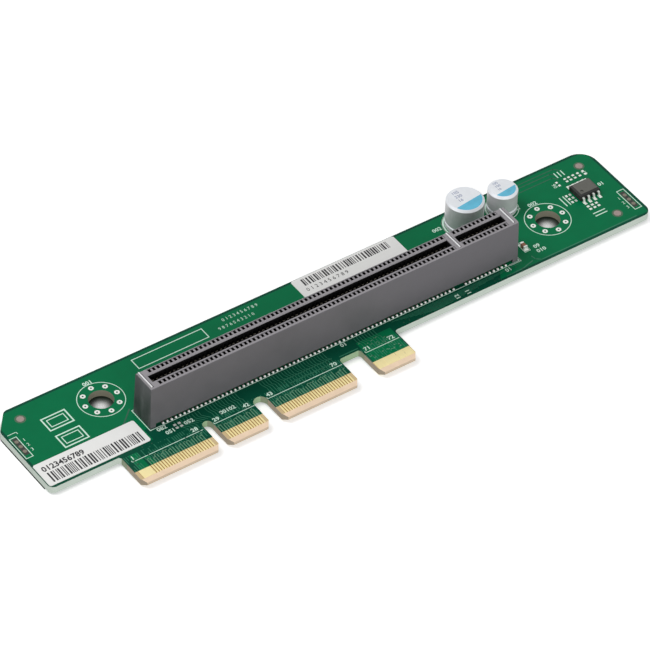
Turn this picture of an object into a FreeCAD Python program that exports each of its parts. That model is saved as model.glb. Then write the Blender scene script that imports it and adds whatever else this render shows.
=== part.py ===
import FreeCAD, Part
import math
import os

import Sketcher

# PCI Express riser card: a long narrow circuit board with a gold-fingered edge, which carries one
# tall sixteen-lane card slot, two aluminium capacitors, one small chip and two paper labels.
#
# Frame: millimetres, +Z up. The origin is the axis of the left mounting hole on the board's
# underside. X runs along the board, and the gold fingers point to -Y.


# ---------------------------------------------------------------------------------------------
# Driving dimensions
# ---------------------------------------------------------------------------------------------

SIZES = {
    # circuit board; the left mounting hole is the origin
    "board_length": 145.9,
    "board_width": 23.0,
    "board_thick": 1.6,
    "left_margin": 21.5,
    "back_margin": 7.6,
    "tongue_reach": 8.35,
    "hole_radius": 2.6,
    "right_hole_from_end": 19.4,
    "right_hole_y": -5.6,
    "back_left_cut_x": 3.7,
    "back_left_cut_y": 4.7,
    "back_left_round": 1.5,
    "back_right_round": 4.0,
    "front_right_round": 2.0,
    "front_left_round": 1.3,
    "root_round": 0.7,
    # edge connector: fingers on a fine pitch along three tongues, one wide pad on the fourth
    "first_tongue_x": -5.6,
    "finger_pitch": 0.6,
    "finger_width": 0.38,
    "finger_start": 3.25,
    "tongue_border": 0.65,
    "long_fingers": 28,
    "short_fingers": 14,
    "wide_pad_fingers": 5,
    "first_gap": 2.1,
    "second_gap": 3.1,
    "third_gap": 5.1,
    "gap_root": 0.75,
    "power_tongue": 9.0,
    "bevel_run": 1.0,
    "bevel_drop": 0.4,
    "tip_cut_x": 0.8,
    "tip_cut_y": 1.2,
    "copper_thick": 0.05,
    # card slot
    "contact_pitch": 1.0,
    "long_side_contacts": 71,
    "short_side_contacts": 11,
    "key_step": 3.0,
    "first_contact_x": 6.5,
    "slot_line_from_front": 6.25,
    "slot_end": 3.0,
    "housing_width": 6.0,
    "housing_height": 10.4,
    "housing_draft": 1.4,
    "foot_gap": 0.8,
    "foot_length": 1.3,
    "card_width": 1.8,
    "card_depth": 8.2,
    "card_before": 1.3,
    "card_after": 0.85,
    "key_before": 0.45,
    "key_after": 0.8,
    "card_lead": 0.25,
    "rail_inner": 1.4,
    "rail_outer": 2.4,
    "rail_drop": 0.2,
    "rail_margin": 0.6,
    "window_width": 0.58,
    "lip_depth": 0.8,
    "lip_width": 0.3,
    "lip_rise": 0.25,
    "lip_offset": 2.45,
    "lip_length": 4.8,
    "lip_groove_depth": 1.0,
    "edge_break": 0.3,
    "peg_radius": 1.0,
    "peg_clearance": 0.05,
    "peg_length": 1.3,
    "first_peg": 3.0,
    # slot contacts
    "strip_thick": 0.18,
    "strip_width": 0.44,
    "toe_reach": 3.15,
    "leg_line": 2.1,
    "touch_line": 0.78,
    "touch_height": 8.6,
    # aluminium capacitors
    "big_can_radius": 4.0,
    "big_can_height": 6.9,
    "big_can_before_slot_end": 2.7,
    "big_can_y": 2.7,
    "big_lead_step": 3.5,
    "small_can_radius": 3.15,
    "small_can_height": 5.7,
    "small_can_after_big": 9.2,
    "small_can_y": 2.2,
    "small_lead_step": 2.5,
    "can_round": 0.45,
    "can_lip": 0.4,
    "bead_radius": 0.25,
    "bead_height": 1.3,
    "bung_stand": 0.2,
    "lead_radius": 0.3,
    "lead_clearance": 0.1,
    "lead_tail": 0.5,
    # eight-lead chip
    "chip_from_end": 8.1,
    "chip_y": -3.0,
    "chip_length": 4.9,
    "chip_width": 3.9,
    "chip_height": 1.45,
    "chip_lift": 0.15,
    "chip_bevel": 0.35,
    "chip_dot_radius": 0.35,
    "chip_dot_inset": 1.05,
    "chip_leads": 4,
    "chip_pitch": 1.27,
    "chip_lead_width": 0.42,
    "chip_lead_thick": 0.2,
    "chip_span": 6.0,
    "chip_lead_foot": 0.45,
    "chip_lead_rise": 0.2,
    # chip capacitor
    "ceramic_after_slot": 3.3,
    "ceramic_before_line": 0.55,
    "ceramic_length": 1.6,
    "ceramic_width": 0.8,
    "ceramic_height": 0.8,
    "ceramic_cap": 0.35,
    "ceramic_lap": 0.03,
    # lands and targets
    "land_ring": 3.7,
    "land_radius": 0.55,
    "target_radius": 0.75,
    "left_target_from_end": 5.3,
    "right_target_from_end": 4.2,
    "targets_from_back": 3.6,
    "front_target_from_end": 6.3,
    "front_target_from_front": 3.5,
    "jumper_radius": 0.42,
    "jumper_step": 1.5,
    "left_jumper_from_end": 1.3,
    "left_jumper_y": -4.0,
    "right_jumper_from_end": 1.7,
    "right_jumper_from_front": 4.1,
    "spare_pad_width": 0.6,
    "spare_pad_depth": 0.5,
    "spare_pad_gap": 0.4,
    "spare_pitch": 1.05,
    "spare_count": 3,
    "front_spare_before_x": 2.0,
    "front_spare_before_y": 4.45,
    "left_spare_before_x": 3.45,
    "left_spare_before_y": 1.2,
    "resistor_pad_x": 8.1,
    "resistor_pad_from_front": 1.15,
    # paper labels
    "label_thick": 0.1,
    "label_cut": 0.3,
    "serial_from_end": 0.2,
    "serial_from_front": 0.6,
    "serial_length": 23.3,
    "serial_width": 6.5,
    "barcode_x": 50.1,
    "barcode_from_back": 6.5,
    "barcode_length": 25.3,
    "barcode_width": 6.35,
}


class Size:
    """A number that also carries the sheet formula it comes from."""

    def __init__(self, number, formula):
        self.number = number
        self.formula = formula

    def __add__(self, other):
        other = as_size(other)
        return Size(self.number + other.number, f"({self.formula} + {other.formula})")

    def __sub__(self, other):
        other = as_size(other)
        return Size(self.number - other.number, f"({self.formula} - {other.formula})")

    def __mul__(self, other):
        other = as_size(other)
        return Size(self.number * other.number, f"({self.formula} * {other.formula})")

    def __truediv__(self, other):
        other = as_size(other)
        return Size(self.number / other.number, f"({self.formula} / {other.formula})")

    def __neg__(self):
        return Size(-self.number, f"(0 - {self.formula})")


def as_size(value):
    """A plain number as a Size; a Size is passed through."""
    return value if isinstance(value, Size) else Size(float(value), repr(float(value)))


class Sheet:
    """The document's spreadsheet; its aliases are read as attributes."""

    def __init__(self, doc, sizes):
        table = doc.addObject("Spreadsheet::Sheet", "sizes")
        self.aliases = dict(sizes)
        for row, (alias, number) in enumerate(sizes.items(), start=1):
            table.set(f"A{row}", alias)
            table.set(f"B{row}", str(number))
            table.setAlias(f"B{row}", alias)
        doc.recompute()

    def __getattr__(self, alias):
        return Size(self.aliases[alias], f"sizes.{alias}")


DOC = FreeCAD.newDocument("riser_card")
S = Sheet(DOC, SIZES)
NODES = []


# ---------------------------------------------------------------------------------------------
# Places worked out from the driving dimensions
# ---------------------------------------------------------------------------------------------

board_left = -S.left_margin
board_right = S.board_length - S.left_margin
board_back = S.back_margin
board_front = S.back_margin - S.board_width
tongue_tip = board_front - S.tongue_reach
gap_top = board_front - S.gap_root
fingers_back = board_front + S.finger_start - S.tongue_reach
bevel_line = tongue_tip + S.bevel_run

long_tongue = S.long_fingers * S.finger_pitch + S.tongue_border * 2
short_tongue = S.short_fingers * S.finger_pitch + S.tongue_border * 2
tongue_1 = (S.first_tongue_x, S.first_tongue_x + long_tongue)
tongue_2 = (tongue_1[1] + S.first_gap, tongue_1[1] + S.first_gap + short_tongue)
tongue_3 = (tongue_2[1] + S.second_gap, tongue_2[1] + S.second_gap + long_tongue)
tongue_4 = (tongue_3[1] + S.third_gap, tongue_3[1] + S.third_gap + S.power_tongue)

long_run = (S.long_side_contacts - 1) * S.contact_pitch
short_run = (S.short_side_contacts - 1) * S.contact_pitch
short_start = long_run + S.key_step
contact_span = short_start + short_run
key_line = long_run + S.key_step / 2
slot_line = board_front + S.slot_line_from_front
slot_right = S.first_contact_x + contact_span + S.slot_end

right_hole_x = board_right - S.right_hole_from_end
big_can_x = slot_right - S.big_can_before_slot_end
small_can_x = big_can_x + S.small_can_after_big
chip_x = board_right - S.chip_from_end


# ---------------------------------------------------------------------------------------------
# Tools for bodies, sketches and features
# ---------------------------------------------------------------------------------------------

def bind(thing, prop, size):
    """Tie one property of a document object to the sheet."""
    thing.setExpression(prop, as_size(size).formula)


def place(thing, x=0, y=0, z=0):
    """Put an object at a place that follows the sheet."""
    thing.Placement = FreeCAD.Placement(
        FreeCAD.Vector(as_size(x).number, as_size(y).number, as_size(z).number), FreeCAD.Rotation())
    for axis, value in zip("xyz", (x, y, z)):
        bind(thing, f"Placement.Base.{axis}", value)


def new_body(name, x=0, y=0, z=0):
    """An empty body at its place, listed as a sub-part under its own name."""
    body = DOC.addObject("PartDesign::Body", name)
    body.Label = name
    body.AllowCompound = True
    place(body, x, y, z)
    NODES.append(body)
    return body


def new_sketch(body, name, plane="XY_Plane", offset=0):
    """A sketch on one of the body's own origin planes, moved along the plane's normal."""
    sketch = body.newObject("Sketcher::SketchObject", name)
    sketch.AttachmentSupport = [
        (feature, "") for feature in body.Origin.OriginFeatures if feature.Role == plane]
    sketch.MapMode = "FlatFace"
    sketch.AttachmentOffset = FreeCAD.Placement(
        FreeCAD.Vector(0, 0, as_size(offset).number), FreeCAD.Rotation())
    bind(sketch, "AttachmentOffset.Base.z", offset)
    return sketch


def fix(sketch, kind, geometry, point, size):
    """Hold one point at a signed distance from the sketch origin."""
    size = as_size(size)
    index = sketch.addConstraint(
        Sketcher.Constraint(kind, -1, 1, geometry, point, size.number))
    sketch.setExpression(f"Constraints[{index}]", size.formula)


def draw_polygon(sketch, corners):
    """A closed outline of straight sides whose corners follow the sheet."""
    corners = [(as_size(x), as_size(y)) for x, y in corners]
    points = [FreeCAD.Vector(x.number, y.number, 0) for x, y in corners]
    first = sketch.GeometryCount
    for start, end in zip(points, points[1:] + points[:1]):
        sketch.addGeometry(Part.LineSegment(start, end), False)
    count = len(points)
    for side in range(count):
        following = (side + 1) % count
        sketch.addConstraint(
            Sketcher.Constraint("Coincident", first + side, 2, first + following, 1))
    for side, (x, y) in enumerate(corners):
        fix(sketch, "DistanceX", first + side, 1, x)
        fix(sketch, "DistanceY", first + side, 1, y)


def draw_rectangle(sketch, left, right, front, back):
    """A closed rectangle between two X and two Y values."""
    draw_polygon(sketch, [(left, front), (right, front), (right, back), (left, back)])


def draw_circle(sketch, x, y, radius):
    """A circle whose centre and radius follow the sheet."""
    x, y, radius = as_size(x), as_size(y), as_size(radius)
    centre = FreeCAD.Vector(x.number, y.number, 0)
    index = sketch.addGeometry(Part.Circle(centre, FreeCAD.Vector(0, 0, 1), radius.number), False)
    fix(sketch, "DistanceX", index, 3, x)
    fix(sketch, "DistanceY", index, 3, y)
    size_index = sketch.addConstraint(Sketcher.Constraint("Radius", index, radius.number))
    sketch.setExpression(f"Constraints[{size_index}]", radius.formula)


def draw_small_round(sketch, x, y, radius):
    """A small round outline with eight flat sides, each at the full radius."""
    corner = as_size(radius) / math.cos(math.pi / 8)
    turns = [math.pi / 8 + math.pi / 4 * side for side in range(8)]
    draw_polygon(sketch, [
        (x + corner * math.cos(turn), y + corner * math.sin(turn)) for turn in turns])


def pad(body, name, sketch, length, reverse=False, symmetric=False, taper=None):
    """Raise a sketch into a solid."""
    feature = body.newObject("PartDesign::Pad", name)
    feature.Profile = sketch
    feature.Length = as_size(length).number
    bind(feature, "Length", length)
    feature.Reversed = reverse
    feature.Midplane = symmetric
    if taper is not None:
        feature.TaperAngle = -taper.number
        bind(feature, "TaperAngle", -taper)
    return feature


def pocket(body, name, sketch, length=None, reverse=False, symmetric=False):
    """Cut a sketch into the solid, to a depth or right through both ways."""
    feature = body.newObject("PartDesign::Pocket", name)
    feature.Profile = sketch
    if length is None:
        feature.Type = 1
        feature.Midplane = True
    else:
        feature.Length = as_size(length).number
        bind(feature, "Length", length)
        feature.Reversed = reverse
        feature.Midplane = symmetric
    return feature


def pattern(body, name, features, step, count, axis="X_Axis"):
    """Repeat features in a row; the body then ends at the row."""
    row = body.newObject("PartDesign::LinearPattern", name)
    row.Originals = features
    row.Direction = ([item for item in body.Origin.OriginFeatures if item.Role == axis][0], [""])
    span = (count - 1) * step
    row.Length = span.number
    row.Occurrences = int(count.number)
    bind(row, "Length", span)
    bind(row, "Occurrences", count)
    body.Tip = row
    DOC.recompute()
    return row


def upright_edges(shape, corners):
    """Names of the edges along Z that stand at the given places."""
    wanted = [(as_size(x).number, as_size(y).number) for x, y in corners]
    names = []
    for index, edge in enumerate(shape.Edges, start=1):
        box = edge.BoundBox
        if box.ZLength < 1e-6 or box.XLength + box.YLength > 1e-6:
            continue
        if any(math.hypot(box.XMin - x, box.YMin - y) < 1e-4 for x, y in wanted):
            names.append(f"Edge{index}")
    return names


def level_edges(shape, height, test):
    """Names of the level edges at one height whose bounding box passes a test."""
    names = []
    for index, edge in enumerate(shape.Edges, start=1):
        box = edge.BoundBox
        if abs(box.ZMin - height) < 1e-4 and abs(box.ZMax - height) < 1e-4 and test(box):
            names.append(f"Edge{index}")
    return names


def fillet(body, name, base, edges, radius):
    """Round the named edges."""
    feature = body.newObject("PartDesign::Fillet", name)
    feature.Base = (base, edges)
    feature.Radius = as_size(radius).number
    bind(feature, "Radius", radius)
    DOC.recompute()
    return feature


def chamfer(body, name, base, edges, size):
    """Break the named edges at an even angle."""
    feature = body.newObject("PartDesign::Chamfer", name)
    feature.Base = (base, edges)
    feature.Size = as_size(size).number
    bind(feature, "Size", size)
    DOC.recompute()
    return feature


def check_cut(before, feature, name):
    """Stop when a cut took nothing away."""
    DOC.recompute()
    if not feature.Shape.Volume < before - 1e-6:
        raise RuntimeError(f"{name} cuts nothing")


# ---------------------------------------------------------------------------------------------
# Circuit board
# ---------------------------------------------------------------------------------------------

def tongue_tip_corners(tongue):
    """The end of one tongue with its two cut corners, from left to right."""
    left, right = tongue
    shoulder = tongue_tip + S.tip_cut_y
    return [
        (left, shoulder),
        (left + S.tip_cut_x, tongue_tip),
        (right - S.tip_cut_x, tongue_tip),
        (right, shoulder),
    ]


def board_outline():
    """Corners of the board from the front left, round by the tongues."""
    corners = [(board_left, board_front), (tongue_1[0], board_front)]
    corners += tongue_tip_corners(tongue_1)
    for before, after in ((tongue_1, tongue_2), (tongue_2, tongue_3), (tongue_3, tongue_4)):
        gap_end = gap_top if after is tongue_4 else gap_top - (after[0] - before[1]) / 2
        corners += [(before[1], gap_end), (after[0], gap_end)]
        corners += tongue_tip_corners(after)
    corners += [
        (tongue_4[1], board_front),
        (board_right, board_front),
        (board_right, board_back),
        (board_left + S.back_left_cut_x, board_back),
        (board_left, board_back - S.back_left_cut_y),
    ]
    return corners


def round_gap_end(sketch, left, right):
    """The milled round end of a narrow gap between two tongues."""
    radius = (right - left) / 2
    draw_circle(sketch, (left + right) / 2, gap_top - radius, radius)


def draw_tongue_cuts(sketch):
    """What is cut off both faces of all tongues: the bare finger zone and the bevel (Y and Z)."""
    beyond = tongue_tip - 1
    bare = S.copper_thick
    deep = bare + S.bevel_drop / S.bevel_run * (S.bevel_run + 1)
    top = S.board_thick
    draw_polygon(sketch, [
        (fingers_back, top + 1), (fingers_back, top - bare), (bevel_line, top - bare),
        (beyond, top - deep), (beyond, top + 1),
    ])
    draw_polygon(sketch, [
        (fingers_back, -1), (fingers_back, bare), (bevel_line, bare), (beyond, deep), (beyond, -1),
    ])


def build_board():
    """Laminate with its outline, bevelled tongues, mounting holes and drilled holes."""
    body = new_body("circuit_board")
    outline = new_sketch(body, "board_outline")
    draw_polygon(outline, board_outline())
    plate = pad(body, "board_plate", outline, S.board_thick)
    DOC.recompute()

    ends = new_sketch(body, "gap_ends")
    round_gap_end(ends, tongue_1[1], tongue_2[0])
    round_gap_end(ends, tongue_2[1], tongue_3[0])
    milled = pocket(body, "milled_gap_ends", ends)
    check_cut(plate.Shape.Volume, milled, "milled_gap_ends")

    cuts = new_sketch(body, "tongue_cut_sketch", "YZ_Plane")
    draw_tongue_cuts(cuts)
    bevelled = pocket(body, "finger_zones_and_bevels", cuts)
    check_cut(milled.Shape.Volume, bevelled, "finger_zones_and_bevels")

    mounts = new_sketch(body, "mounting_holes")
    draw_circle(mounts, 0, 0, S.hole_radius)
    draw_circle(mounts, right_hole_x, S.right_hole_y, S.hole_radius)
    drilled = pocket(body, "mounting_drill", mounts)
    check_cut(bevelled.Shape.Volume, drilled, "mounting_drill")

    small = new_sketch(body, "small_holes")
    for x, y, step in ((big_can_x, S.big_can_y, S.big_lead_step),
                       (small_can_x, S.small_can_y, S.small_lead_step)):
        for sign in (-1, 1):
            draw_small_round(small, x + step / 2 * sign, y, S.lead_radius + S.lead_clearance)
    for peg in (S.first_peg, key_line):
        draw_small_round(small, S.first_contact_x + peg, slot_line,
                         S.peg_radius + S.peg_clearance)
    pierced = pocket(body, "lead_and_peg_drill", small)
    check_cut(drilled.Shape.Volume, pierced, "lead_and_peg_drill")

    rounds = (
        ("back_right_corner", [(board_right, board_back)], S.back_right_round),
        ("front_right_corner", [(board_right, board_front)], S.front_right_round),
        ("front_left_corner", [(board_left, board_front)], S.front_left_round),
        ("cut_corner", [(board_left + S.back_left_cut_x, board_back),
                        (board_left, board_back - S.back_left_cut_y)], S.back_left_round),
        ("tongue_roots", [(tongue_1[0], board_front), (tongue_4[1], board_front),
                          (tongue_3[1], gap_top), (tongue_4[0], gap_top)], S.root_round),
    )
    base = pierced
    for name, corners, radius in rounds:
        base = fillet(body, name, base, upright_edges(base.Shape, corners), radius)


# ---------------------------------------------------------------------------------------------
# Gold fingers and bare lands
# ---------------------------------------------------------------------------------------------

def finger_row(name, first_x, count, top):
    """A row of gold fingers in one bare zone of a tongue, down to the bevel."""
    level = S.board_thick - S.copper_thick if top else as_size(0)
    body = new_body(name, first_x, 0, level)
    sketch = new_sketch(body, f"{name}_sketch")
    draw_rectangle(sketch, -S.finger_width / 2, S.finger_width / 2, bevel_line, fingers_back)
    finger = pad(body, f"{name}_finger", sketch, S.copper_thick)
    DOC.recompute()
    pattern(body, f"{name}_row", [finger], S.finger_pitch, count)


def wide_pad(name, left, right, top):
    """One wide gold pad in one bare zone of a tongue, down to the bevel."""
    level = S.board_thick - S.copper_thick if top else as_size(0)
    body = new_body(name, 0, 0, level)
    sketch = new_sketch(body, f"{name}_sketch")
    draw_rectangle(sketch, left, right, bevel_line, fingers_back)
    pad(body, f"{name}_plate", sketch, S.copper_thick)


def build_fingers():
    """Gold on both faces of the four tongues."""
    first = S.tongue_border + S.finger_pitch / 2
    half_gap = (S.finger_pitch - S.finger_width) / 2
    wide_left = tongue_1[0] + S.tongue_border + half_gap
    wide_right = wide_left + S.wide_pad_fingers * S.finger_pitch - half_gap * 2
    narrow = S.long_fingers - S.wide_pad_fingers
    after_wide = tongue_1[0] + first + S.wide_pad_fingers * S.finger_pitch
    wide_pad("tongue_1_wide_pad_top", wide_left, wide_right, True)
    finger_row("tongue_1_fingers_top", after_wide, narrow, True)
    finger_row("tongue_1_fingers_under", tongue_1[0] + first, S.long_fingers, False)
    for label, tongue, count in (("tongue_2", tongue_2, S.short_fingers),
                                 ("tongue_3", tongue_3, S.long_fingers)):
        finger_row(f"{label}_fingers_top", tongue[0] + first, count, True)
        finger_row(f"{label}_fingers_under", tongue[0] + first, count, False)
    edge = S.tongue_border / 4
    wide_pad("tongue_4_power_pad_top", tongue_4[0] + edge, tongue_4[1] - edge, True)
    wide_pad("tongue_4_power_pad_under", tongue_4[0] + edge, tongue_4[1] - edge, False)


def build_ground_lands(name, x, y):
    """The ring of eight bare lands round one mounting hole."""
    body = new_body(name, x, y, S.board_thick)
    sketch = new_sketch(body, f"{name}_sketch")
    for turn in range(8):
        angle = math.radians(45 * turn)
        draw_small_round(sketch, S.land_ring * math.cos(angle), S.land_ring * math.sin(angle),
                         S.land_radius)
    pad(body, f"{name}_copper", sketch, S.copper_thick)


def build_targets():
    """Three round alignment targets for the placing machine."""
    body = new_body("alignment_targets", 0, 0, S.board_thick)
    sketch = new_sketch(body, "target_sketch")
    back = board_back - S.targets_from_back
    for x, y in ((board_left + S.left_target_from_end, back),
                 (board_right - S.right_target_from_end, back),
                 (board_right - S.front_target_from_end,
                  board_front + S.front_target_from_front)):
        draw_small_round(sketch, x, y, S.target_radius)
    pad(body, "target_copper", sketch, S.copper_thick)


def build_jumper_pads(name, x, y):
    """Three round pads in a line for a jumper that isn't fitted."""
    body = new_body(name, x, y, S.board_thick)
    sketch = new_sketch(body, f"{name}_sketch")
    for step in range(3):
        draw_small_round(sketch, as_size(0), S.jumper_step * step, S.jumper_radius)
    pad(body, f"{name}_copper", sketch, S.copper_thick)


def draw_pad_pair(sketch, x, y, along_y):
    """Two soldering pads that face each other across a small gap."""
    reach = S.spare_pad_gap / 2 + S.spare_pad_depth
    half = S.spare_pad_width / 2
    for near, far in ((S.spare_pad_gap / 2, reach), (-reach, -S.spare_pad_gap / 2)):
        if along_y:
            draw_rectangle(sketch, x - half, x + half, y + near, y + far)
        else:
            draw_rectangle(sketch, x + near, x + far, y - half, y + half)


def build_spare_pads():
    """Soldering pads of small resistors that aren't fitted."""
    body = new_body("resistor_pads", 0, 0, S.board_thick)
    sketch = new_sketch(body, "resistor_pad_sketch")
    for index in range(int(S.spare_count.number)):
        along = S.spare_pitch * index
        draw_pad_pair(sketch, chip_x - S.front_spare_before_x + along,
                      S.chip_y - S.front_spare_before_y, True)
        draw_pad_pair(sketch, chip_x - S.left_spare_before_x,
                      S.chip_y - S.left_spare_before_y + along, False)
    for index in range(2):
        draw_pad_pair(sketch, S.resistor_pad_x + S.spare_pitch * index,
                      board_front + S.resistor_pad_from_front, True)
    pad(body, "resistor_pad_copper", sketch, S.copper_thick)


# ---------------------------------------------------------------------------------------------
# Card slot
# ---------------------------------------------------------------------------------------------

def housing_sections():
    """X spans of the two card openings, left and right of the key."""
    return (
        (-S.card_before, long_run + S.key_before),
        (short_start - S.key_after, contact_span + S.card_after),
    )


def lip_places():
    """Left sides of the three cross lips: both ends and the key."""
    return (-S.lip_offset, key_line - S.lip_width, contact_span + S.lip_offset - S.lip_width * 3)


def cavity_section(side):
    """Section of one contact's cavity in Y and Z: it slants out under the lip to its window."""
    above = S.housing_height + 1
    rail_floor = S.housing_height - S.rail_drop
    lip_foot = rail_floor - S.lip_depth
    wall = S.card_width / 2
    return [
        (S.rail_inner * side, above), (S.rail_outer * side, above),
        (S.rail_outer * side, S.foot_gap), (wall * side, S.foot_gap),
        (wall * side, lip_foot), (S.rail_inner * side, rail_floor),
    ]


def build_housing():
    """Moulded slot housing with card openings, cross lips and a cavity for every contact."""
    body = new_body("slot_housing", S.first_contact_x, slot_line, S.board_thick)
    left = -S.slot_end
    right = contact_span + S.slot_end
    half = S.housing_width / 2
    top = S.housing_height

    footprint = new_sketch(body, "housing_footprint")
    draw_rectangle(footprint, left, right, -half, half)
    block = pad(body, "housing_block", footprint, top, taper=S.housing_draft)
    DOC.recompute()

    along = level_edges(block.Shape, top.number, lambda box: box.XLength > half.number)
    block = chamfer(body, "housing_edge_break", block, along, S.edge_break)

    underside = new_sketch(body, "underside_sketch")
    draw_rectangle(underside, left + S.foot_length, right - S.foot_length, -half - 1, half + 1)
    raised = pocket(body, "underside_gap", underside, S.foot_gap, reverse=True)
    check_cut(block.Shape.Volume, raised, "underside_gap")

    openings = new_sketch(body, "card_sketch", offset=top)
    for start, end in housing_sections():
        draw_rectangle(openings, start, end, -S.card_width / 2, S.card_width / 2)
    cut = pocket(body, "card_openings", openings, S.card_depth)
    check_cut(raised.Shape.Volume, cut, "card_openings")
    slot_edge = (S.card_width / 2).number
    mouth = level_edges(
        cut.Shape, top.number,
        lambda box: abs(abs(box.YMin) - slot_edge) < 1e-4 and box.YLength < 1e-6)
    cut = chamfer(body, "card_lead_in", cut, mouth, S.card_lead)

    rails = new_sketch(body, "rail_sketch", offset=top)
    margin = S.rail_margin
    for start, end in ((-margin, long_run + margin), (short_start - margin, contact_span + margin)):
        draw_rectangle(rails, start, end, S.rail_inner, S.rail_outer)
        draw_rectangle(rails, start, end, -S.rail_outer, -S.rail_inner)
    lowered = pocket(body, "rail_recess", rails, S.rail_drop)
    check_cut(cut.Shape.Volume, lowered, "rail_recess")

    lips = new_sketch(body, "lip_sketch", offset=top)
    grooves = new_sketch(body, "lip_groove_sketch", offset=top)
    reach = S.lip_length / 2
    for start in lip_places():
        draw_rectangle(lips, start, start + S.lip_width, -reach, reach)
        draw_rectangle(grooves, start + S.lip_width, start + S.lip_width * 2, -reach, reach)
    pad(body, "cross_lips", lips, S.lip_rise)
    DOC.recompute()
    before = body.Shape.Volume
    grooved = pocket(body, "lip_grooves", grooves, S.lip_groove_depth)
    check_cut(before, grooved, "lip_grooves")

    pegs = new_sketch(body, "peg_sketch", offset=S.foot_gap)
    for peg in (S.first_peg, key_line):
        draw_small_round(pegs, peg, as_size(0), S.peg_radius)
    pad(body, "locating_pegs", pegs, S.foot_gap + S.peg_length, reverse=True)
    DOC.recompute()

    for label, start, count in (("long", as_size(0), S.long_side_contacts),
                                ("short", short_start, S.short_side_contacts)):
        before = body.Shape.Volume
        section = new_sketch(body, f"{label}_cavity_sketch", "YZ_Plane", offset=start)
        draw_polygon(section, cavity_section(-1))
        draw_polygon(section, cavity_section(1))
        cavity = pocket(body, f"{label}_cavities", section, S.window_width, symmetric=True)
        check_cut(before, cavity, f"{label}_cavities")
        pattern(body, f"{label}_cavity_row", [cavity], S.contact_pitch, count)


def strip_outline(path, thick):
    """Outline of a bent strip: the path's left side out, its right side back."""
    numbers = [(y.number, z.number) for y, z in path]
    normals = []
    for index in range(len(path)):
        before = numbers[max(index - 1, 0)]
        here = numbers[index]
        after = numbers[min(index + 1, len(path) - 1)]
        turn_in = math.atan2(here[1] - before[1], here[0] - before[0])
        turn_out = math.atan2(after[1] - here[1], after[0] - here[0])
        if index == 0:
            turn_in = turn_out
        if index == len(path) - 1:
            turn_out = turn_in
        middle = (turn_in + turn_out) / 2
        scale = 1 / math.cos((turn_out - turn_in) / 2)
        normals.append((-math.sin(middle) * scale, math.cos(middle) * scale))
    left = [(y + thick * (ny / 2), z + thick * (nz / 2))
            for (y, z), (ny, nz) in zip(path, normals)]
    right = [(y - thick * (ny / 2), z - thick * (nz / 2))
             for (y, z), (ny, nz) in zip(path, normals)]
    return left + right[::-1]


def build_contacts(name, side):
    """One row of spring contacts; side is -1 for the front row and 1 for the rear row."""
    body = new_body(name, S.first_contact_x, slot_line, S.board_thick)
    half = S.strip_thick / 2
    path = [
        (S.toe_reach * side, half),
        (S.leg_line * side, half),
        (S.touch_line * side, S.touch_height),
    ]
    corners = strip_outline(path, S.strip_thick)
    for label, start, count in (("long", as_size(0), S.long_side_contacts),
                                ("short", short_start, S.short_side_contacts)):
        sketch = new_sketch(body, f"{name}_{label}_sketch", "YZ_Plane", offset=start)
        draw_polygon(sketch, corners)
        strip = pad(body, f"{name}_{label}_strip", sketch, S.strip_width, symmetric=True)
        DOC.recompute()
        pattern(body, f"{name}_{label}_row", [strip], S.contact_pitch, count)


# ---------------------------------------------------------------------------------------------
# Aluminium capacitors
# ---------------------------------------------------------------------------------------------

def revolve(body, name, sketch):
    """Turn a half profile once round the body's Z axis."""
    feature = body.newObject("PartDesign::Revolution", name)
    feature.Profile = sketch
    feature.ReferenceAxis = (
        [item for item in body.Origin.OriginFeatures if item.Role == "Z_Axis"][0], [""])
    feature.Angle = 360
    DOC.recompute()
    return feature


def build_capacitor(size, x, y, radius, height, lead_step):
    """One drawn can with a rolled bead, the rubber bung it stands on and its two leads."""
    can = new_body(f"{size}_capacitor_can", x, y, S.board_thick)
    profile = new_sketch(can, f"{size}_can_profile", "XZ_Plane")
    bead_low = S.bead_height - S.bead_radius
    bead_high = S.bead_height + S.bead_radius
    draw_polygon(profile, [
        (0, S.bung_stand), (radius, S.bung_stand), (radius, bead_low),
        (radius - S.bead_radius, S.bead_height), (radius, bead_high),
        (radius, height - S.can_round), (radius - S.can_round, height), (0, height),
    ])
    revolve(can, f"{size}_can_turned", profile)

    bung = new_body(f"{size}_capacitor_bung", x, y, S.board_thick)
    disc = new_sketch(bung, f"{size}_bung_profile")
    draw_circle(disc, 0, 0, radius - S.can_lip)
    for sign in (-1, 1):
        draw_small_round(disc, lead_step / 2 * sign, as_size(0), S.lead_radius)
    pad(bung, f"{size}_bung_disc", disc, S.bung_stand)

    leads = new_body(f"{size}_capacitor_leads", x, y, 0)
    wires = new_sketch(leads, f"{size}_lead_profile", offset=-S.lead_tail)
    for sign in (-1, 1):
        draw_small_round(wires, lead_step / 2 * sign, as_size(0), S.lead_radius)
    pad(leads, f"{size}_lead_wires", wires, S.lead_tail + S.board_thick + S.bung_stand)


# ---------------------------------------------------------------------------------------------
# Chip, ceramic capacitor and labels
# ---------------------------------------------------------------------------------------------

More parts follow.
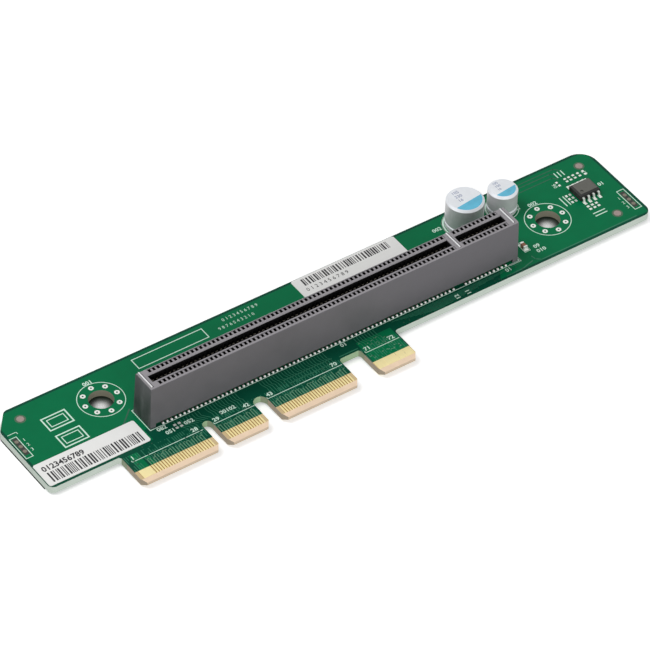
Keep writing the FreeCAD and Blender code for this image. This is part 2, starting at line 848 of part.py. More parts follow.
def build_chip():
    """Moulded eight-lead chip and its gull-wing leads."""
    body = new_body("memory_chip_body", chip_x, S.chip_y, S.board_thick)
    half_x = S.chip_length / 2
    half_y = S.chip_width / 2
    outline = new_sketch(body, "chip_outline", offset=S.chip_lift)
    draw_rectangle(outline, -half_x, half_x, -half_y, half_y)
    block = pad(body, "chip_block", outline, S.chip_height)
    DOC.recompute()
    top = S.chip_lift + S.chip_height
    edges = level_edges(block.Shape, top.number, lambda box: True)
    block = chamfer(body, "chip_bevel", block, edges, S.chip_bevel)
    dot = new_sketch(body, "chip_dot_sketch", offset=top)
    draw_small_round(dot, S.chip_dot_inset - half_x, S.chip_dot_inset - half_y,
                     S.chip_dot_radius)
    dimple = pocket(body, "chip_dot", dot, S.chip_lift)
    check_cut(block.Shape.Volume, dimple, "chip_dot")

    first = (S.chip_leads - 1) * S.chip_pitch / 2
    leads = new_body("memory_chip_leads", chip_x - first, S.chip_y, S.board_thick)
    half = S.chip_lead_thick / 2
    shoulder = S.chip_lift + S.chip_height / 2
    toe = S.chip_span / 2
    for sign, label in ((-1, "front"), (1, "rear")):
        path = [
            (toe * sign, half),
            ((toe - S.chip_lead_foot) * sign, half),
            ((toe - S.chip_lead_foot - S.chip_lead_rise) * sign, shoulder),
            (half_y * sign, shoulder),
        ]
        sketch = new_sketch(leads, f"chip_{label}_lead_sketch", "YZ_Plane")
        draw_polygon(sketch, strip_outline(path, S.chip_lead_thick))
        lead = pad(leads, f"chip_{label}_lead", sketch, S.chip_lead_width, symmetric=True)
        DOC.recompute()
        pattern(leads, f"chip_{label}_lead_row", [lead], S.chip_pitch, S.chip_leads)


def build_ceramic():
    """Small ceramic capacitor with its tinned ends."""
    middle = S.ceramic_length - S.ceramic_cap * 2
    half_width = S.ceramic_width / 2
    x = slot_right + S.ceramic_after_slot
    y = slot_line - S.ceramic_before_line
    body = new_body("ceramic_capacitor_body", x, y, S.board_thick)
    sketch = new_sketch(body, "ceramic_sketch")
    draw_rectangle(sketch, -half_width, half_width, -middle / 2, middle / 2)
    pad(body, "ceramic_block", sketch, S.ceramic_height)

    ends = new_body("ceramic_capacitor_ends", x, y, S.board_thick)
    caps = new_sketch(ends, "ceramic_end_sketch")
    outer = half_width + S.ceramic_lap
    for near, far in ((middle / 2, middle / 2 + S.ceramic_cap),
                      (-middle / 2 - S.ceramic_cap, -middle / 2)):
        draw_rectangle(caps, -outer, outer, near, far)
    pad(ends, "ceramic_end_caps", caps, S.ceramic_height + S.ceramic_lap)


def build_label(name, x, y, length, width):
    """One paper label with its corners cut, stuck flat on the board."""
    body = new_body(name, x, y, S.board_thick)
    sketch = new_sketch(body, f"{name}_sketch")
    draw_rectangle(sketch, 0, length, 0, width)
    sheet = pad(body, f"{name}_paper", sketch, S.label_thick)
    DOC.recompute()
    corners = [(a, b) for a in (0, length) for b in (0, width)]
    chamfer(body, f"{name}_corners", sheet, upright_edges(sheet.Shape, corners), S.label_cut)


# ---------------------------------------------------------------------------------------------
# Build, check and write
# ---------------------------------------------------------------------------------------------

def check_document():
    """Stop on any failed object or any sub-part without a sound shape."""
    DOC.recompute()
    for thing in DOC.Objects:
        if "Invalid" in thing.State or "Error" in thing.State:
            raise RuntimeError(f"{thing.Label} failed: {thing.State}")
    for node in NODES:
        if node.Shape.isNull() or not node.Shape.isValid() or not node.Shape.Solids:
            raise RuntimeError(f"{node.Label} has no sound shape")


def write_parts():
    """One STEP file for each sub-part."""
    os.makedirs("parts", exist_ok=True)
    for node in NODES:
        node.Shape.exportStep(f"parts/{node.Label}.step")


build_board()
build_housing()
build_contacts("slot_contacts_front", -1)
build_contacts("slot_contacts_rear", 1)
build_fingers()
build_ground_lands("left_ground_lands", 0, 0)
build_ground_lands("right_ground_lands", right_hole_x, S.right_hole_y)
build_targets()
build_jumper_pads("left_jumper_pads", board_left + S.left_jumper_from_end, S.left_jumper_y)
build_jumper_pads("right_jumper_pads", board_right - S.right_jumper_from_end,
                  board_front + S.right_jumper_from_front)
build_spare_pads()
build_capacitor("large", big_can_x, S.big_can_y, S.big_can_radius, S.big_can_height,
                S.big_lead_step)
build_capacitor("small", small_can_x, S.small_can_y, S.small_can_radius, S.small_can_height,
                S.small_lead_step)
build_chip()
build_ceramic()
build_label("serial_label", board_left + S.serial_from_end, board_front + S.serial_from_front,
            S.serial_length, S.serial_width)
build_label("barcode_label", S.barcode_x, board_back - S.barcode_from_back, S.barcode_length,
            S.barcode_width)
check_document()
write_parts()
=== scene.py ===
"""Looks of a sixteen-lane riser card: board, slot, capacitors, chip, pads, legend and labels."""

import logging
import math
import random
from dataclasses import dataclass, field
from enum import Enum
from functools import cached_property, reduce
from typing import NamedTuple

import bmesh
import bpy
from mathutils import Matrix, Vector


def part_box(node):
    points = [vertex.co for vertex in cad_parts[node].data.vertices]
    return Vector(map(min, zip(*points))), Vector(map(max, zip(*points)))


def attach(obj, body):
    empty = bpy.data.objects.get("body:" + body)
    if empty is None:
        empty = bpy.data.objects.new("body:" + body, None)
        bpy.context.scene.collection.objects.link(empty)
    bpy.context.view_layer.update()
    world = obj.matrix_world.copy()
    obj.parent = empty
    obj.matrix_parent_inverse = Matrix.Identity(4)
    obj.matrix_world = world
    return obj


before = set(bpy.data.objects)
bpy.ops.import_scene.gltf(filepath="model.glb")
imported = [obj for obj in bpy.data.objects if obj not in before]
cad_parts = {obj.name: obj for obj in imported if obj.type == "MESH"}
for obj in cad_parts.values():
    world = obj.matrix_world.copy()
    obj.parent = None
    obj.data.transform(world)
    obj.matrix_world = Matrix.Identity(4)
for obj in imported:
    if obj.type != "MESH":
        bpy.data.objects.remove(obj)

Colour = Triple = tuple[float, float, float]
Point = Span = tuple[float, float]
Points = tuple[Point, ...]
Box = tuple[float, float, float, float]
Rows = tuple[tuple[float, ...], ...]
Socket = bpy.types.NodeSocket

# Lengths are millimetres, and boxes are left, right, front and back.
MM = 0.001
BOARD_TOP = 1.6
BOARD_X = (-21.5, 124.4)
BOARD_Y = (-15.4, 7.6)
SLOT_LINE = -9.15
FIRST_CONTACT = 6.5
BORES: Points = ((0.0, 0.0), (105.0, -5.6))
LAND_RING = 3.7
CAN_RINGS = ((89.8, 2.7, 4.5, 56), (99.0, 2.2, 3.55, 48))
TONGUES: Points = ((-4.4, 12.0), (14.8, 24.2), (27.5, 45.2), (51.1, 59.2))
FINGER_PITCH = 0.6
WHITE: Colour = (1.0, 1.0, 1.0)

log = logging.getLogger("riser_card")


def linear(value: int) -> float:
    """Linear share of one screen value from 0 to 255."""
    share = value / 255
    return share / 12.92 if share <= 0.04045 else ((share + 0.055) / 1.055) ** 2.4


def srgb(red: int, green: int, blue: int) -> Colour:
    """Linear colour of three screen values from 0 to 255."""
    return linear(red), linear(green), linear(blue)


def mm_box(node: str) -> tuple[Vector, Vector]:
    """Lowest and highest corner of a node in millimetres."""
    low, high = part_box(node)
    return Vector(low) / MM, Vector(high) / MM


# --- Shader graphs ---

@dataclass
class Graph:
    """Short ways to add and join the nodes of one node tree."""

    tree: bpy.types.NodeTree

    def feed(self, socket: Socket, value: object) -> None:
        """Join a socket to another, or set its plain value.

        Args:
            socket: input to fill.
            value: output of another node, number, vector or colour.
        """
        if isinstance(value, Socket):
            self.tree.links.new(value, socket)
        elif isinstance(value, tuple) and len(socket.default_value) == 4:
            socket.default_value = (*value, 1.0)
        else:
            socket.default_value = value

    def add(self, kind: str, inputs: dict[int | str, object] | None = None,
            **settings: object) -> bpy.types.Node:
        """Add a node.

        Args:
            kind: Blender's name of the node's type.
            inputs: what its inputs get, by number or name.
            settings: values of the node's own properties.

        Returns:
            The new node.
        """
        node = self.tree.nodes.new(kind)
        for name, value in settings.items():
            setattr(node, name, value)
        for key, value in (inputs or {}).items():
            self.feed(node.inputs[key], value)
        return node

    def math(self, operation: str, *values: object) -> Socket:
        """Result of one Math node."""
        return self.add("ShaderNodeMath", dict(enumerate(values)), operation=operation).outputs[0]

    def times(self, first: object, *others: object) -> object:
        """Product of several values."""
        return reduce(lambda one, other: self.math("MULTIPLY", one, other), others, first)

    def above(self, value: object, limit: float) -> Socket:
        """Mask that is 1 where a value is over a limit."""
        return self.math("GREATER_THAN", value, limit)

    def below(self, value: object, limit: float) -> Socket:
        """Mask that is 1 where a value is under a limit."""
        return self.math("LESS_THAN", value, limit)

    def between(self, value: object, low: float, high: float) -> Socket:
        """Mask that is 1 where a value lies between two limits."""
        return self.times(self.above(value, low), self.below(value, high))

    def mix(self, factor: object, first: object, second: object) -> Socket:
        """Colour between two colours, the second one where the factor is 1."""
        inputs = {0: factor, 6: first, 7: second}
        return self.add("ShaderNodeMix", inputs, data_type="RGBA").outputs[2]

    def noise(self, vector: object, scale: object, detail: float = 3.0) -> Socket:
        """Smooth noise from 0 to 1, finer at a larger scale."""
        inputs = {"Vector": vector, "Scale": scale, "Detail": detail}
        return self.add("ShaderNodeTexNoise", inputs).outputs[0]

    def stretch(self, vector: object, scale: Triple) -> Socket:
        """A vector scaled along each axis."""
        node = self.add("ShaderNodeVectorMath", {0: vector, 1: scale}, operation="MULTIPLY")
        return node.outputs[0]

    def split(self, vector: object) -> list[Socket]:
        """X, Y and Z of a vector."""
        return list(self.add("ShaderNodeSeparateXYZ", {0: vector}).outputs)


def grain_group() -> bpy.types.NodeTree:
    """Shared surface grain: it varies a colour and a roughness and puts out a height.

    Returns:
        The node group, made once.
    """
    name = "surface_grain"
    if name in bpy.data.node_groups:
        return bpy.data.node_groups[name]
    tree = bpy.data.node_groups.new(name, "ShaderNodeTree")
    for way, kind, labels in (
            ("INPUT", "NodeSocketVector", ("Vector",)), ("INPUT", "NodeSocketColor", ("Colour",)),
            ("INPUT", "NodeSocketFloat", ("Shade", "Scale", "Roughness", "Spread")),
            ("OUTPUT", "NodeSocketColor", ("Colour",)),
            ("OUTPUT", "NodeSocketFloat", ("Roughness", "Height"))):
        for label in labels:
            tree.interface.new_socket(name=label, in_out=way, socket_type=kind)
    graph = Graph(tree)
    into = graph.add("NodeGroupInput").outputs
    out = graph.add("NodeGroupOutput").inputs
    swing = graph.math("SUBTRACT", graph.noise(into["Vector"], into["Scale"]), 0.5)
    factor = graph.math("MULTIPLY_ADD", swing, into["Shade"], 1.0)
    scaled = graph.add("ShaderNodeVectorMath", {0: into["Colour"], "Scale": factor},
                       operation="SCALE")
    rough = graph.math("MULTIPLY_ADD", swing, into["Spread"], into["Roughness"])
    graph.feed(out["Colour"], scaled.outputs[0])
    graph.feed(out["Roughness"], rough)
    graph.feed(out["Height"], graph.noise(into["Vector"], graph.times(into["Scale"], 7.0), 2.0))
    return tree


class Grain(NamedTuple):
    """Fine variation of a surface; shade varies its colour, spread its roughness."""

    shade: float
    size: float
    roughness: float
    spread: float
    depth: float


class MaterialGraph(Graph):
    """Nodes of one new material, with its shader and the object's coordinates at hand."""

    def __init__(self, name: str) -> None:
        """Make the material.

        Args:
            name: its name.
        """
        self.material = bpy.data.materials.new(name)
        self.material.use_nodes = True
        super().__init__(self.material.node_tree)
        self.shader = self.tree.nodes["Principled BSDF"]
        self.place = self.add("ShaderNodeTexCoord").outputs["Object"]

    @cached_property
    def spot(self) -> list[Socket]:
        """X, Y and Z of the surface in millimetres."""
        return self.split(self.stretch(self.place, (1 / MM, 1 / MM, 1 / MM)))

    @cached_property
    def facing(self) -> list[Socket]:
        """X, Y and Z of the direction that the surface faces."""
        return self.split(self.add("ShaderNodeNewGeometry").outputs["Normal"])

    def shade(self, label: str, value: object) -> None:
        """Set or join one input of the shader."""
        self.feed(self.shader.inputs[label], value)

    def relief(self, height: object, depth: float) -> None:
        """Tilt the surface by a height map of a depth in millimetres."""
        inputs = {"Strength": 1.0, "Distance": depth * MM, "Height": height}
        self.shade("Normal", self.add("ShaderNodeBump", inputs).outputs[0])

    def grain(self, grain: Grain, vector: object, colour: object) -> Socket:
        """Run a colour through the shared grain and into the shader.

        Args:
            grain: what the grain is like.
            vector: coordinates that it reads.
            colour: colour or socket to vary.

        Returns:
            The grain's height.
        """
        inputs = {"Vector": vector, "Colour": colour, "Shade": grain.shade,
                  "Scale": 1 / (grain.size * MM), "Roughness": grain.roughness,
                  "Spread": grain.spread}
        node = self.add("ShaderNodeGroup", inputs, node_tree=grain_group())
        self.shade("Base Color", node.outputs["Colour"])
        self.shade("Roughness", node.outputs["Roughness"])
        return node.outputs["Height"]

    def grained(self, grain: Grain, vector: object, colour: object) -> None:
        """Give the surface a grained colour and the relief of its grain."""
        self.relief(self.grain(grain, vector, colour), grain.depth)


# --- Finishes ---

class Finish:
    """What every finish shares: a name and a material that is made once."""

    name: str

    def material(self) -> bpy.types.Material:
        """The finish's material, built on first use.

        Returns:
            The material.
        """
        if self.name not in bpy.data.materials:
            self.paint(MaterialGraph(self.name))
        return bpy.data.materials[self.name]

    def paint(self, graph: MaterialGraph) -> None:
        """Build the nodes of the material."""
        raise NotImplementedError


@dataclass(frozen=True)
class Grained(Finish):
    """A substance with fine grain, such as moulded plastic, ink, paper, rubber or metal.

    It may have painted shade that darkens its steep flanks, streaks of a second colour, and grain
    that is brushed along an axis.
    """

    name: str
    colour: Colour
    roughness: float
    shade: float = 0.15
    spread: float = 0.15
    size: float = 1.5
    depth: float = 0.004
    metallic: float = 0.0
    flank_shade: Colour | None = None
    brink: float = 0.0
    streak_colour: Colour | None = None
    streak_share: float = 0.0
    streak: Triple = (1.0, 1.0, 1.0)
    streak_scale: float = 0.0
    brush: Triple | None = None

    def paint(self, graph: MaterialGraph) -> None:
        """Build the nodes of the material.

        Args:
            graph: the material's graph.
        """
        colour = self.colour
        # Painted shade: faces that point less upward than brink take the darker flank colour.
        if self.flank_shade:
            colour = graph.mix(graph.above(graph.facing[2], self.brink), self.flank_shade, colour)
        # Darker streaks of a second colour: random patches on the gold, fine rings round the can's
        # side.
        if self.streak_colour:
            streaks = graph.noise(graph.stretch(graph.place, self.streak), self.streak_scale)
            colour = graph.mix(graph.times(streaks, self.streak_share), colour, self.streak_colour)
        place = graph.stretch(graph.place, self.brush) if self.brush else graph.place
        grain = Grain(self.shade, self.size, self.roughness, self.spread, self.depth)
        graph.grained(grain, place, colour)
        graph.shade("Metallic", self.metallic)


@dataclass(frozen=True)
class Laminate(Finish):
    """Glass-epoxy board: green mask over copper pours and traces, bare at fingers and edges."""

    name: str = "board_laminate"
    grain: Grain = Grain(shade=0.16, size=2.4, roughness=0.4, spread=0.1, depth=0.03)
    pour: Colour = srgb(0, 110, 68)
    ground: Colour = srgb(2, 74, 54)
    trace: Colour = srgb(60, 132, 104)
    bare: Colour = srgb(214, 190, 146)
    between: Colour = srgb(168, 126, 66)
    bevel: Colour = srgb(240, 214, 186)
    wall: Colour = srgb(232, 244, 234)
    layer: Colour = srgb(140, 152, 128)
    wall_shade: Colour = srgb(132, 126, 112)
    gap_wall_shade: Colour = srgb(182, 214, 172)
    slot_zone: Span = (2.4, 95.7)
    zone_slant: float = 0.636
    zone_back: float = -11.7
    pour_margin: float = 0.6
    copper: float = 0.6
    fingers_back: float = -20.5
    bevel_line: float = -22.75
    trace_pitch: float = 0.5
    trace_share: Span = (0.25, 0.7)
    trace_run: float = 0.9
    gap_edges: Span = (BOARD_Y[0] - 2.4, BOARD_Y[0] - 0.5)
    bore_reach: float = 3.0
    finger_runs: Points = ((-4.9, 11.8), (15.3, 23.6), (28.1, 44.8))
    patches: Rows = (
        (-4.3, -2.2, -16.0), (-1.7, -0.6, -17.9), (51.0, 59.3, -14.2))

    def pours(self, graph: MaterialGraph) -> Socket:
        """Mask of the copper pours: all of the board but the slot's front strip and a margin.

        Args:
            graph: the material's graph.

        Returns:
            The mask.
        """
        x, y, _ = graph.spot
        margin = self.pour_margin
        slanted = graph.math("MULTIPLY_ADD", y, -self.zone_slant, x)
        strip = graph.times(graph.above(x, self.slot_zone[0]),
                            graph.below(slanted, self.slot_zone[1]),
                            graph.below(y, self.zone_back))
        inside = graph.times(graph.between(x, BOARD_X[0] + margin, BOARD_X[1] - margin),
                             graph.between(y, BOARD_Y[0] + margin, BOARD_Y[1] - margin),
                             graph.math("SUBTRACT", 1.0, strip))
        for left, right, back in self.patches:
            patch = graph.times(graph.between(x, left, right), graph.below(y, back))
            inside = graph.math("MAXIMUM", inside, patch)
        return inside

    def traces(self, graph: MaterialGraph) -> Socket:
        """Mask of short traces that run towards the fingers, broken up at random.

        Args:
            graph: the material's graph.

        Returns:
            The mask.
        """
        x, y, _ = graph.spot
        lane = graph.math("DIVIDE", x, self.trace_pitch)
        step = graph.math("DIVIDE", y, self.trace_run)
        cell = graph.add("ShaderNodeCombineXYZ", {0: graph.math("FLOOR", lane),
                                                  1: graph.math("FLOOR", step)})
        gate = graph.add("ShaderNodeTexWhiteNoise", {"Vector": cell.outputs[0]},
                         noise_dimensions="3D")
        return graph.times(graph.between(graph.math("FRACT", lane), *self.trace_share),
                           graph.above(gate.outputs["Value"], 0.45),
                           graph.below(y, BOARD_Y[0] - 0.6))

    def walls(self, graph: MaterialGraph) -> Socket:
        """Colour of the sawn edges: pale along the board, tan at the tongues, with painted shade
        brown in bores and darker in the gaps.

        Args:
            graph: the material's graph.

        Returns:
            The colour.
        """
        x, y, _ = graph.spot
        tongue = graph.below(y, self.gap_edges[0])
        # Painted shade: the walls in the gaps between the tongues are darker.
        wall = graph.mix(graph.between(y, *self.gap_edges),
                         graph.mix(tongue, self.wall, self.bevel), self.gap_wall_shade)
        reach = self.bore_reach
        for bore_x, bore_y in BORES:
            near = graph.times(graph.between(x, bore_x - reach, bore_x + reach),
                               graph.between(y, bore_y - reach, bore_y + reach))
            # Painted shade: the walls of the mounting holes are brown.
            wall = graph.mix(near, wall, self.wall_shade)
        layers = graph.noise(graph.stretch(graph.place, (400.0, 400.0, 9000.0)), 1.0)
        return graph.mix(graph.times(layers, 0.4), wall, self.layer)

    def paint(self, graph: MaterialGraph) -> None:
        """Build the nodes of the material.

        Args:
            graph: the material's graph.
        """
        x, y, _ = graph.spot
        ahead, _, upward = graph.facing
        pour = self.pours(graph)
        trace = graph.times(self.traces(graph), self.copper)
        green = graph.mix(trace, graph.mix(pour, self.ground, self.pour), self.trace)
        runs = 0.0
        for left, right in self.finger_runs:
            runs = graph.math("ADD", graph.between(x, left, right), runs)
        tips = graph.mix(runs, self.bare, self.between)
        flat = graph.mix(graph.below(y, self.fingers_back), green, tips)
        flat = graph.mix(graph.below(y, self.bevel_line), flat, self.bevel)
        # Painted shade: walls facing the front at the tongues take part of the same brown.
        shaded = graph.times(graph.below(ahead, -0.5), graph.below(y, self.gap_edges[1]), 0.6)
        wall = graph.mix(shaded, self.walls(graph), self.wall_shade)
        face = graph.above(graph.math("ABSOLUTE", upward), 0.5)
        height = graph.grain(self.grain, graph.place, graph.mix(face, wall, flat))
        masked = graph.times(graph.math("ADD", graph.times(pour, self.copper), trace), face)
        graph.relief(graph.math("MULTIPLY_ADD", height, 0.12, masked), self.grain.depth)
        graph.shade("Specular IOR Level", 0.08)


@dataclass(frozen=True)
class Moulding(Finish):
    """Moulded slot plastic: matt flanks, painted light on top and lips, painted shade in black
    cavities and dark ends.
    """

    name: str = "slot_moulding"
    grain: Grain = Grain(shade=0.2, size=2.6, roughness=0.5, spread=0.25, depth=0.012)
    colour: Colour = srgb(106, 104, 108)
    lit_grey: Colour = srgb(148, 145, 149)
    lip_highlight: Colour = srgb(236, 236, 238)
    end: Colour = srgb(22, 34, 30)
    inside: Colour = srgb(9, 9, 10)
    inside_x: Span = (4.4, 91.4)
    inside_y: Span = (SLOT_LINE - 2.45, SLOT_LINE + 2.45)
    inside_z: Span = (2.45, 11.74)
    top_z: float = 11.78
    lip_z: float = 12.05

    def paint(self, graph: MaterialGraph) -> None:
        """Build the nodes of the material.

        Args:
            graph: the material's graph.
        """
        x, y, z = graph.spot
        # Painted light: the top above top_z is lighter, as if lit from above.
        colour = graph.mix(graph.above(z, self.top_z), self.colour, self.lit_grey)
        # Painted highlight: the raised lips above lip_z are near white.
        colour = graph.mix(graph.above(z, self.lip_z), colour, self.lip_highlight)
        # Painted shade and painted reflection on the left end faces: a dark green tint with pale
        # streaks, stronger towards the bottom.
        reflection_streaks = graph.noise(graph.stretch(graph.place, (1.0, 1.0, 0.35)), 420.0)
        gloss = graph.mix(graph.math("POWER", reflection_streaks, 3.0), self.end, self.lit_grey)
        low = graph.math("SUBTRACT", 1.3, graph.math("DIVIDE", z, 14.0))
        end = graph.below(graph.facing[0], -0.7)
        colour = graph.mix(graph.times(end, low), colour, gloss)
        # Painted shade: the cavities inside the housing are near black.
        cavity_shade_mask = graph.times(graph.between(x, *self.inside_x), graph.between(y, *self.inside_y),
                             graph.between(z, *self.inside_z))
        graph.grained(self.grain, graph.place, graph.mix(cavity_shade_mask, colour, self.inside))
        graph.shade("Specular IOR Level", 0.35)


LAMINATE = Laminate()
HOUSING = Moulding()
GOLD = Grained("gold_plating", srgb(255, 242, 184), 0.3, shade=0.12, spread=0.14, size=0.3,
               depth=0.002, metallic=0.45, streak_colour=srgb(238, 208, 132), streak_share=0.4,
               streak_scale=700.0, brush=(1.0, 0.12, 1.0))
# Painted shade: the can's sides are darker than its top.
CAN = Grained("drawn_can", srgb(242, 246, 250), 0.45, shade=0.1, spread=0.12, size=0.8,
              depth=0.003, metallic=0.3, flank_shade=srgb(218, 216, 218), brink=0.4,
              streak_colour=srgb(190, 190, 196), streak_share=0.5, streak=(1.0, 1.0, 14.0), streak_scale=260.0)
# Painted shade: the chip's sides are near black.
CHIP = Grained("chip_resin", srgb(88, 88, 82), 0.6, shade=0.5, size=0.5, depth=0.02,
               flank_shade=srgb(4, 5, 3), brink=0.85)
TIN = Grained("tin_plate", srgb(232, 236, 230), 0.35, metallic=0.45, size=0.5, depth=0.006)
# Painted highlight: the solder is near white, standing in for its glint.
GLINT_SOLDER = Grained("solder_joint_glint", srgb(252, 252, 250), 0.35, metallic=0.1, size=0.4, depth=0.01)
CONTACT = Grained("contact_spring", srgb(128, 122, 110), 0.4, metallic=0.6, size=0.6)
LEGEND = Grained("legend_ink", srgb(212, 240, 224), 0.7, shade=0.3, size=0.6)
PAPER = Grained("label_stock", srgb(238, 238, 236), 0.75, shade=0.05, size=2.5)
PRINT = Grained("label_print", srgb(22, 22, 26), 0.6, shade=0.3, size=0.8)
BLUE = Grained("can_ink", srgb(96, 186, 216), 0.4, shade=0.5, size=2.0, metallic=0.3)
BLUE_TEXT = Grained("can_text_ink", srgb(116, 128, 164), 0.5, shade=0.3, size=0.8)
RUBBER = Grained("bung_rubber_skin", srgb(38, 38, 40), 0.75, size=0.7)
CERAMIC = Grained("ceramic_block", srgb(142, 92, 66), 0.5, shade=0.3, size=0.4)
TARGET = Grained("target_copper", srgb(156, 140, 134), 0.5, metallic=0.3, shade=0.3, size=0.5)
HALO = Grained("bare_laminate", srgb(66, 96, 72), 0.6, shade=0.25, size=0.5)
STRIP = Grained("jumper_strip", srgb(34, 38, 32), 0.6, shade=0.35, size=0.6)
STRIP_PAD = Grained("jumper_pad_copper", srgb(124, 116, 104), 0.5, metallic=0.3, size=0.4)
VIA = Grained("via_barrel", srgb(16, 70, 48), 0.5, shade=0.3, size=0.2)
TRACE = Grained("masked_trace", srgb(36, 112, 84), 0.4, shade=0.3, size=0.8)
GAP = Grained("masked_gap", srgb(0, 82, 54), 0.45, shade=0.2, size=0.8)
STUB = Grained("finger_stub", srgb(92, 142, 112), 0.45, shade=0.4, size=0.5)


# --- Mesh building ---

def make_object(mesh: bmesh.types.BMesh, name: str,
                material: bpy.types.Material) -> bpy.types.Object:
    """Turn a mesh in millimetres into an object in metres.

    Args:
        mesh: the shapes, which are freed here.
        name: name of the object.
        material: its material.

    Returns:
        The new object.
    """
    bmesh.ops.scale(mesh, vec=(MM, MM, MM), verts=mesh.verts)
    data = bpy.data.meshes.new(name)
    mesh.to_mesh(data)
    mesh.free()
    data.materials.append(material)
    made = bpy.data.objects.new(name, data)
    bpy.context.scene.collection.objects.link(made)
    return made


class Side(Enum):
    """Face of the board that a piece lies on."""

    TOP = 1
    UNDER = -1


@dataclass
class Sheet:
    """Collects shapes of one finish in millimetres, thin ones on the board or another base."""

    name: str
    finish: Finish
    slot: str
    thick: float = 0.02
    side: Side = Side.TOP
    base: float | None = None
    body: str = "root"
    mesh: bmesh.types.BMesh = field(default_factory=bmesh.new)

    def at(self, x: float, y: float, turn: float = 0.0) -> Matrix:
        """Place in the middle of the sheet's thickness.

        Args:
            x: X of the place.
            y: Y of the place.
            turn: its turn in radians.

        Returns:
            The place.
        """
        surface = (BOARD_TOP if self.side is Side.TOP else 0.0) if self.base is None else self.base
        middle = surface + self.side.value * self.thick / 2
        return Matrix.Translation((x, y, middle)) @ Matrix.Rotation(turn, 4, "Z")

    def block(self, place: Matrix, length: float, width: float) -> None:
        """A flat rectangle round a place."""
        shape = Matrix.Diagonal((length, width, self.thick, 1))
        bmesh.ops.create_cube(self.mesh, size=1, matrix=place @ shape)

    def bar(self, left: float, right: float, front: float, back: float) -> None:
        """A flat rectangle between two X and two Y values."""
        place = self.at((left + right) / 2, (front + back) / 2)
        self.block(place, abs(right - left), abs(back - front))

    def frame(self, box: Box, line: float) -> None:
        """An open rectangle drawn by four lines.

        Args:
            box: the rectangle.
            line: width of the line.
        """
        left, right, front, back = box
        half = line / 2
        for y in (front, back):
            self.bar(left - half, right + half, y - half, y + half)
        for x in (left, right):
            self.bar(x - half, x + half, front + half, back - half)

    def disc(self, x: float, y: float, radius: float, sides: int = 20) -> None:
        """A flat round shape."""
        bmesh.ops.create_cone(self.mesh, cap_ends=True, segments=sides, radius1=radius,
                              radius2=radius, depth=self.thick, matrix=self.at(x, y))

    def arc(self, x: float, y: float, radius: float, line: float, steps: int,
            start: float = 0.0, turn: float = 360.0) -> None:
        """A curved line: a full ring, or a piece of one with square ends.

        Args:
            x: X of the centre.
            y: Y of the centre.
            radius: radius of the line's middle.
            line: width of the line.
            steps: number of straight pieces.
            start: first angle in degrees.
            turn: angle covered in degrees.
        """
        section = (self.at(x, y, math.radians(start))
                   @ Matrix.Translation((radius, 0, 0)) @ Matrix.Rotation(math.pi / 2, 4, "X")
                   @ Matrix.Diagonal((line / 2, self.thick / 2, 1, 1)))
        corners = bmesh.ops.create_grid(self.mesh, x_segments=1, y_segments=1, size=1,
                                        matrix=section)["verts"]
        faces = list({face for corner in corners for face in corner.link_faces})
        whole = abs(turn) >= 360
        bmesh.ops.spin(self.mesh, geom=corners + faces, cent=(x, y, 0), axis=(0, 0, 1),
                       angle=math.radians(turn), steps=steps, use_merge=whole)
        if whole:
            inner = [face for face in self.mesh.faces
                     if all(len(edge.link_faces) > 2 for edge in face.edges)]
            bmesh.ops.delete(self.mesh, geom=inner, context="FACES_ONLY")

    def words(self, text: str, x: float, y: float, height: float, turn: float = 0.0,
              bold: float = 0.0, wide: float = 1.0) -> None:
        """Plain numerals, starting at a point on their base line.

        Args:
            text: the numerals.
            x: X of the start.
            y: Y of the base line.
            height: height of a numeral.
            turn: direction of the line in degrees.
            bold: how far the strokes are widened.
            wide: stretch along the line.
        """
        curve = bpy.data.curves.new("numerals", "FONT")
        curve.body = text
        curve.size = height / 0.7
        curve.resolution_u = 2
        curve.extrude = self.thick / 2
        curve.offset = bold
        holder = bpy.data.objects.new("numerals", curve)
        bpy.context.scene.collection.objects.link(holder)
        depsgraph = bpy.context.evaluated_depsgraph_get()
        mesh = bpy.data.meshes.new_from_object(holder.evaluated_get(depsgraph))
        mesh.transform(self.at(x, y, math.radians(turn)) @ Matrix.Diagonal((wide, 1, 1, 1)))
        letters = bmesh.new()
        letters.from_mesh(mesh)
        bmesh.ops.remove_doubles(letters, verts=letters.verts, dist=1e-5)
        letters.to_mesh(mesh)
        letters.free()
        self.mesh.from_mesh(mesh)
        bpy.data.objects.remove(holder)
        bpy.data.curves.remove(curve)
        bpy.data.meshes.remove(mesh)

    def path(self, points: list[Point], line: float) -> None:
        """A line of straight runs with round joints.

        Args:
            points: the corners of the line.
            line: width of the line.
        """
        for (ax, ay), (bx, by) in zip(points, points[1:]):
            place = self.at((ax + bx) / 2, (ay + by) / 2, math.atan2(by - ay, bx - ax))
            self.block(place, math.hypot(bx - ax, by - ay), line)
        for x, y in points[1:-1]:
            self.disc(x, y, line / 2, 10)

    def finish_piece(self, smooth: bool = False) -> None:
        """Turn the collected shapes into one piece of the object.

        Args:
            smooth: shade the faces smoothly.
        """
        bmesh.ops.recalc_face_normals(self.mesh, faces=self.mesh.faces)
        for face in self.mesh.faces:
            face.smooth = smooth
        piece = make_object(self.mesh, self.name, self.finish.material())
        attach(piece, self.body)
        log.info("%s: %d faces", self.name, len(piece.data.polygons))


def dress_node(node: str, finish: Finish) -> None:
    """Give a node of the frame its finish.

    Args:
        node: name of the node.
        finish: its finish.
    """
    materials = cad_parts[node].data.materials
    materials.clear()
    materials.append(finish.material())
    log.info("%s: %s", node, finish.name)


